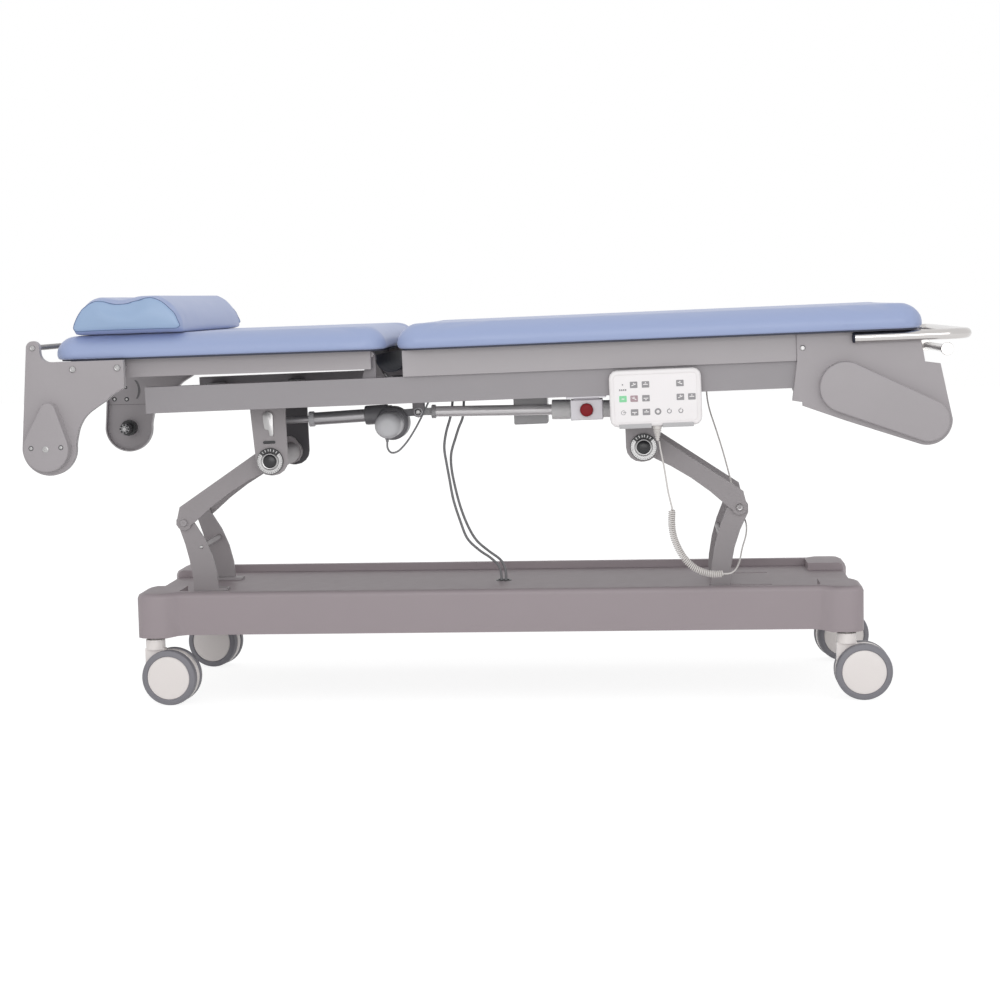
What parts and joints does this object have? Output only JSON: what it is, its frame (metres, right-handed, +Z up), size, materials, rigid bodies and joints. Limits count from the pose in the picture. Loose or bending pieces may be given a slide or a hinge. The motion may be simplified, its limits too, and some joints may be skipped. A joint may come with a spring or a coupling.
{
  "type": "electric examination table",
  "caption": "Padded two-section examination couch on an electric lift base with swivel casters, side handset, neck pillow and paper roll plates.",
  "frame": {"origin": "on the floor, under the middle of the whole outline", "axes": "+X from the pillow end towards the push handle, +Y away from the side with the handset, +Z up"},
  "size_m": [2.0597, 0.7746, 0.9167],
  "materials": {
    "grey_paint": "fine matt powder coat",
    "dark_paint": "matt powder coat",
    "base_plastic": "moulded, lightly textured",
    "white_plastic": "smooth moulded",
    "pale_plastic": "smooth moulded",
    "black_plastic": "smooth moulded",
    "red_plastic": "glossy",
    "blue_vinyl": "grained synthetic leather over foam",
    "pillow_vinyl": "smooth synthetic leather over foam",
    "dark_film": "flexible translucent sheet",
    "bright_steel": "turned and ground",
    "chrome": "polished",
    "white_cord": "flexible sheath",
    "grey_cable": "flexible sheath"
  },
  "bodies": {
    "base": {"base_cover": "base_plastic", "base_frame": "dark_paint", "head_posts": "grey_paint"},
    "head_arm": {"head_lift_arm": "grey_paint"},
    "couch": {"lower_frame": "grey_paint", "main_frame": "grey_paint", "lift_bracket_head_near": "grey_paint", "lift_bracket_head_far": "grey_paint", "lift_bracket_foot_near": "grey_paint", "lift_bracket_foot_far": "grey_paint", "tilt_dial_head": "bright_steel", "tilt_dial_foot": "bright_steel", "tilt_pointer": "bright_steel", "estop_box": "white_plastic", "control_box": "pale_plastic", "handset": "white_plastic", "handset_holder": "white_plastic", "handset_relief": "white_plastic", "gap_apron": "dark_film", "main_cushion": "blue_vinyl", "foot_plate_near": "grey_paint", "foot_plate_far": "grey_paint", "belt_cover": "grey_paint", "push_handle": "chrome", "handset_cord": "white_cord", "handset_coil": "white_cord", "handset_tail": "white_cord", "supply_cable_a": "grey_cable", "supply_cable_b": "grey_cable", "motor_cable": "grey_cable"},
    "foot_arm": {"foot_lift_arm": "grey_paint"},
    "foot_carriage": {"foot_posts": "grey_paint"},
    "head_motor": {"head_lift_motor": "pale_plastic"},
    "head_rod": {"head_lift_rod": "bright_steel"},
    "foot_rod": {"foot_lift_rod": "bright_steel"},
    "foot_motor": {"foot_lift_motor": "pale_plastic"},
    "back_motor": {"backrest_motor": "dark_paint"},
    "back_rod": {"backrest_rod": "bright_steel"},
    "backrest": {"backrest_frame": "grey_paint", "backrest_cushion": "blue_vinyl", "neck_pillow": "pillow_vinyl", "head_plate_near": "grey_paint", "head_plate_far": "grey_paint", "head_cover_near": "grey_paint", "head_cover_far": "grey_paint", "head_cross_rod": "grey_paint"},
    "emergency_button": {"estop_button": "red_plastic"},
    "guide_roll": {"guide_roller": "chrome"},
    "caster_head_near": {"caster_fork_head_near": "white_plastic"},
    "wheels_head_near": {"caster_wheels_head_near": "white_plastic"},
    "caster_head_far": {"caster_fork_head_far": "white_plastic"},
    "wheels_head_far": {"caster_wheels_head_far": "white_plastic"},
    "caster_foot_near": {"caster_fork_foot_near": "white_plastic"},
    "wheels_foot_near": {"caster_wheels_foot_near": "white_plastic"},
    "caster_foot_far": {"caster_fork_foot_far": "white_plastic"},
    "wheels_foot_far": {"caster_wheels_foot_far": "white_plastic"},
    "head_roll_near": {"head_chuck_near": "black_plastic"},
    "foot_roll_near": {"foot_chuck_near": "black_plastic"},
    "head_roll_far": {"head_chuck_far": "black_plastic"},
    "foot_roll_far": {"foot_chuck_far": "black_plastic"}
  },
  "joints": [
    {"name": "lift", "type": "hinge", "parent": "base", "child": "head_arm", "pos_m": [-0.7377, 0, 0.3947], "axis": [0, 1, 0], "range_deg": [0, 55], "deforming": ["supply_cable_a", "supply_cable_b", "handset_tail"]},
    {"name": "couch_level", "type": "hinge", "parent": "head_arm", "child": "couch", "pos_m": [-0.52331, 0, 0.53822], "axis": [0, 1, 0], "range_deg": [-55, 0]},
    {"name": "foot_arm_turn", "type": "hinge", "parent": "couch", "child": "foot_arm", "pos_m": [0.32219, 0, 0.55682], "axis": [0, 1, 0], "range_deg": [-55, 0]},
    {"name": "foot_post_turn", "type": "hinge", "parent": "foot_arm", "child": "foot_carriage", "pos_m": [0.53658, 0, 0.4133], "axis": [0, 1, 0], "range_deg": [0, 55]},
    {"name": "head_motor_swing", "type": "hinge", "parent": "couch", "child": "head_motor", "pos_m": [-0.19868, 0, 0.63599], "axis": [0, 1, 0], "range_deg": [0, 1.9], "deforming": ["motor_cable"]},
    {"name": "head_rod_slide", "type": "slide", "parent": "head_motor", "child": "head_rod", "axis": [-0.9987, 0, -0.0507], "range_m": [-0.085, 0]},
    {"name": "foot_rod_swing", "type": "hinge", "parent": "couch", "child": "foot_rod", "pos_m": [-0.19868, 0, 0.63599], "axis": [0, 1, 0], "range_deg": [-1.6, 0]},
    {"name": "foot_motor_slide", "type": "slide", "parent": "foot_rod", "child": "foot_motor", "axis": [1, 0, -0.0007], "range_m": [-0.084, 0]},
    {"name": "backrest_tilt", "type": "hinge", "parent": "couch", "child": "backrest", "pos_m": [-0.26964, 0, 0.77906], "axis": [0, 1, 0], "range_deg": [0, 65], "deforming": ["gap_apron"]},
    {"name": "back_motor_swing", "type": "hinge", "parent": "couch", "child": "back_motor", "pos_m": [0.07075, 0, 0.71953], "axis": [0, 1, 0], "range_deg": [0, 6.5]},
    {"name": "back_rod_slide", "type": "slide", "parent": "back_motor", "child": "back_rod", "axis": [-0.9998, 0, -0.0217], "range_m": [0, 0.062]},
    {"name": "caster_swivel_head_near", "type": "hinge", "parent": "base", "child": "caster_head_near", "pos_m": [-0.782, -0.242, 0.19], "axis": [0, 0, 1], "continuous": true},
    {"name": "wheel_spin_head_near", "type": "hinge", "parent": "caster_head_near", "child": "wheels_head_near", "pos_m": [-0.74614, -0.24514, 0.0625], "axis": [0.0872, 0.9962, 0], "continuous": true},
    {"name": "caster_swivel_head_far", "type": "hinge", "parent": "base", "child": "caster_head_far", "pos_m": [-0.782, 0.242, 0.19], "axis": [0, 0, 1], "continuous": true},
    {"name": "wheel_spin_head_far", "type": "hinge", "parent": "caster_head_far", "child": "wheels_head_far", "pos_m": [-0.74666, 0.23513, 0.0625], "axis": [0.1908, 0.9816, 0], "continuous": true},
    {"name": "caster_swivel_foot_near", "type": "hinge", "parent": "base", "child": "caster_foot_near", "pos_m": [0.762, -0.242, 0.19], "axis": [0, 0, 1], "continuous": true},
    {"name": "wheel_spin_foot_near", "type": "hinge", "parent": "caster_foot_near", "child": "wheels_foot_near", "pos_m": [0.798, -0.242, 0.0625], "axis": [0, 1, 0], "continuous": true},
    {"name": "caster_swivel_foot_far", "type": "hinge", "parent": "base", "child": "caster_foot_far", "pos_m": [0.762, 0.242, 0.19], "axis": [0, 0, 1], "continuous": true},
    {"name": "wheel_spin_foot_far", "type": "hinge", "parent": "caster_foot_far", "child": "wheels_foot_far", "pos_m": [0.79765, 0.24701, 0.0625], "axis": [-0.1392, 0.9903, 0], "continuous": true},
    {"name": "head_chuck_spin_near", "type": "hinge", "parent": "backrest", "child": "head_roll_near", "pos_m": [-0.97332, -0.35, 0.58899], "axis": [0, 1, 0], "continuous": true},
    {"name": "foot_chuck_spin_near", "type": "hinge", "parent": "couch", "child": "foot_roll_near", "pos_m": [0.92882, -0.3, 0.61687], "axis": [0, 1, 0], "continuous": true},
    {"name": "head_chuck_spin_far", "type": "hinge", "parent": "backrest", "child": "head_roll_far", "pos_m": [-0.97332, 0.35, 0.58899], "axis": [0, 1, 0], "continuous": true},
    {"name": "foot_chuck_spin_far", "type": "hinge", "parent": "couch", "child": "foot_roll_far", "pos_m": [0.92882, 0.3, 0.61687], "axis": [0, 1, 0], "continuous": true},
    {"name": "guide_roller_spin", "type": "hinge", "parent": "couch", "child": "guide_roll", "pos_m": [0.99039, 0, 0.76406], "axis": [0, 1, 0], "continuous": true},
    {"name": "emergency_press", "type": "slide", "parent": "couch", "child": "emergency_button", "axis": [0, 1, 0], "range_m": [0, 0.005], "stiffness_N_per_m": 1500}
  ],
  "couplings": [
    {"joint": "couch_level", "follows": "lift", "ratio": -1},
    {"joint": "foot_arm_turn", "follows": "lift", "ratio": -1},
    {"joint": "foot_post_turn", "follows": "lift", "ratio": 1},
    {"joint": "head_motor_swing", "follows": "lift", "ratio": 0.0325},
    {"joint": "head_rod_slide", "follows": "lift", "m_per_rad": -0.08754},
    {"joint": "foot_rod_swing", "follows": "lift", "ratio": -0.0275},
    {"joint": "foot_motor_slide", "follows": "lift", "m_per_rad": -0.08639},
    {"joint": "back_motor_swing", "follows": "backrest_tilt", "ratio": 0.0983},
    {"joint": "back_rod_slide", "follows": "backrest_tilt", "m_per_rad": 0.0541}
  ]
}
